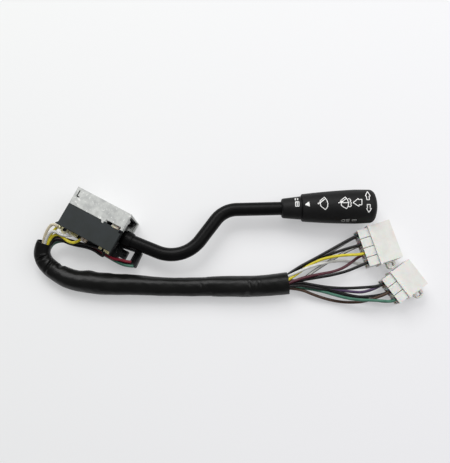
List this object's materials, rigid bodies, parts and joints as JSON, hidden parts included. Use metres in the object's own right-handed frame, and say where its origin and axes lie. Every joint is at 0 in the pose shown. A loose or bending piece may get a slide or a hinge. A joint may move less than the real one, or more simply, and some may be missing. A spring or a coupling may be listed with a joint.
{
  "type": "combination stalk switch",
  "caption": "Column-mounted stalk switch: cast housing with a cranked lever, a turning and pushing knob, and a sleeved wiring harness ending in two multiway plugs.",
  "frame": {"origin": "centre of the two mounting screws, on the housing's flat back", "axes": "+Z out of the flat back towards the cover plate, +X along the housing towards the lever, +Y towards the housing's closed side"},
  "size_m": [0.3035, 0.1882, 0.031],
  "materials": {
    "cast_zinc": "as-cast zinc alloy, dull crystalline grey, slightly mottled",
    "black_moulding": "fine-grained black phenolic moulding",
    "brass": "stamped brass, slightly dull",
    "steel": "turned steel",
    "spring_steel": "drawn spring wire",
    "white_nylon": "natural nylon, faintly translucent",
    "black_enamel": "satin black enamel on steel",
    "knob_plastic": "fine-textured dark plastic with white printed pictograms",
    "sleeve_vinyl": "soft black vinyl tubing with a low sheen",
    "vinyl_black": "black wire insulation",
    "vinyl_grey": "grey wire insulation",
    "vinyl_striped": "black wire insulation with a white tracer",
    "vinyl_yellow": "yellow wire insulation",
    "vinyl_maroon": "dark red wire insulation",
    "vinyl_white": "white wire insulation",
    "vinyl_violet": "violet wire insulation",
    "vinyl_brown": "brown wire insulation",
    "vinyl_green": "green wire insulation",
    "vinyl_cream": "cream wire insulation",
    "vinyl_crimson": "crimson wire insulation"
  },
  "bodies": {
    "base": {"housing": "cast_zinc", "cover_plate": "black_moulding", "switch_base": "black_moulding", "ring_terminal": "brass", "clip_terminal": "brass", "crimp_terminal": "brass", "inner_tab_terminal": "brass", "outer_tab_terminal": "brass", "fixed_contacts": "brass", "wire_guide": "black_moulding", "wire_clamp": "black_moulding", "pivot_pin": "steel", "detent_cam": "white_nylon", "dip_switch_barrel": "black_moulding", "plug_eight_way": "white_nylon", "plug_eight_way_contacts": "brass", "plug_six_way": "white_nylon", "plug_six_way_contacts": "brass", "harness_sleeve": "sleeve_vinyl", "wire_black_1": "vinyl_black", "wire_grey": "vinyl_grey", "wire_black_2": "vinyl_black", "wire_striped": "vinyl_striped", "wire_yellow": "vinyl_yellow", "wire_maroon": "vinyl_maroon", "wire_white": "vinyl_white", "wire_black_3": "vinyl_black", "wire_black_4": "vinyl_black", "wire_violet": "vinyl_violet", "wire_black_5": "vinyl_black", "wire_brown": "vinyl_brown", "wire_black_6": "vinyl_black", "wire_green": "vinyl_green", "lead_cream": "vinyl_cream", "lead_white": "vinyl_white", "lead_yellow_1": "vinyl_yellow", "lead_yellow_2": "vinyl_yellow", "lead_black_2": "vinyl_black", "lead_black_1": "vinyl_black", "lead_green": "vinyl_green", "lead_crimson": "vinyl_crimson"},
    "carrier": {"lever_carrier": "black_moulding", "nylon_slider": "white_nylon", "moving_contacts": "brass", "detent_plunger": "steel", "detent_spring": "spring_steel", "flash_pin": "steel", "flash_spring": "spring_steel"},
    "lever": {"lever_tube": "black_enamel", "lever_knuckle": "black_enamel", "position_collar": "knob_plastic", "wiper_contact_disc": "black_moulding", "wiper_studs": "brass", "spring_seat": "white_nylon", "rotor_clip": "spring_steel"},
    "rotor": {"wiper_rotor": "black_moulding", "rotor_contact_ring": "brass"},
    "push_knob": {"knob": "knob_plastic", "wash_contact_pin": "brass", "wash_spring": "spring_steel"}
  },
  "joints": [
    {"name": "turn_signal", "type": "hinge", "parent": "base", "child": "carrier", "pos_m": [0.004, -0.001, 0.0155], "axis": [0, 0, 1], "range_deg": [0, 14]},
    {"name": "headlamp_flash", "type": "hinge", "parent": "carrier", "child": "lever", "pos_m": [0.018, -0.001, 0.0155], "axis": [0, -1, 0], "range_deg": [0, 7], "stiffness_Nm_per_rad": 4, "springref_deg": -2.86},
    {"name": "wiper_select", "type": "hinge", "parent": "lever", "child": "rotor", "pos_m": [0.14182, 0.08885, 0.0155], "axis": [0.8721, 0.4894, 0], "range_deg": [-25, 50]},
    {"name": "washer_push", "type": "slide", "parent": "rotor", "child": "push_knob", "axis": [-0.8721, -0.4894, 0], "range_m": [0, 0.004], "stiffness_N_per_m": 900, "springref_m": -0.002}
  ]
}
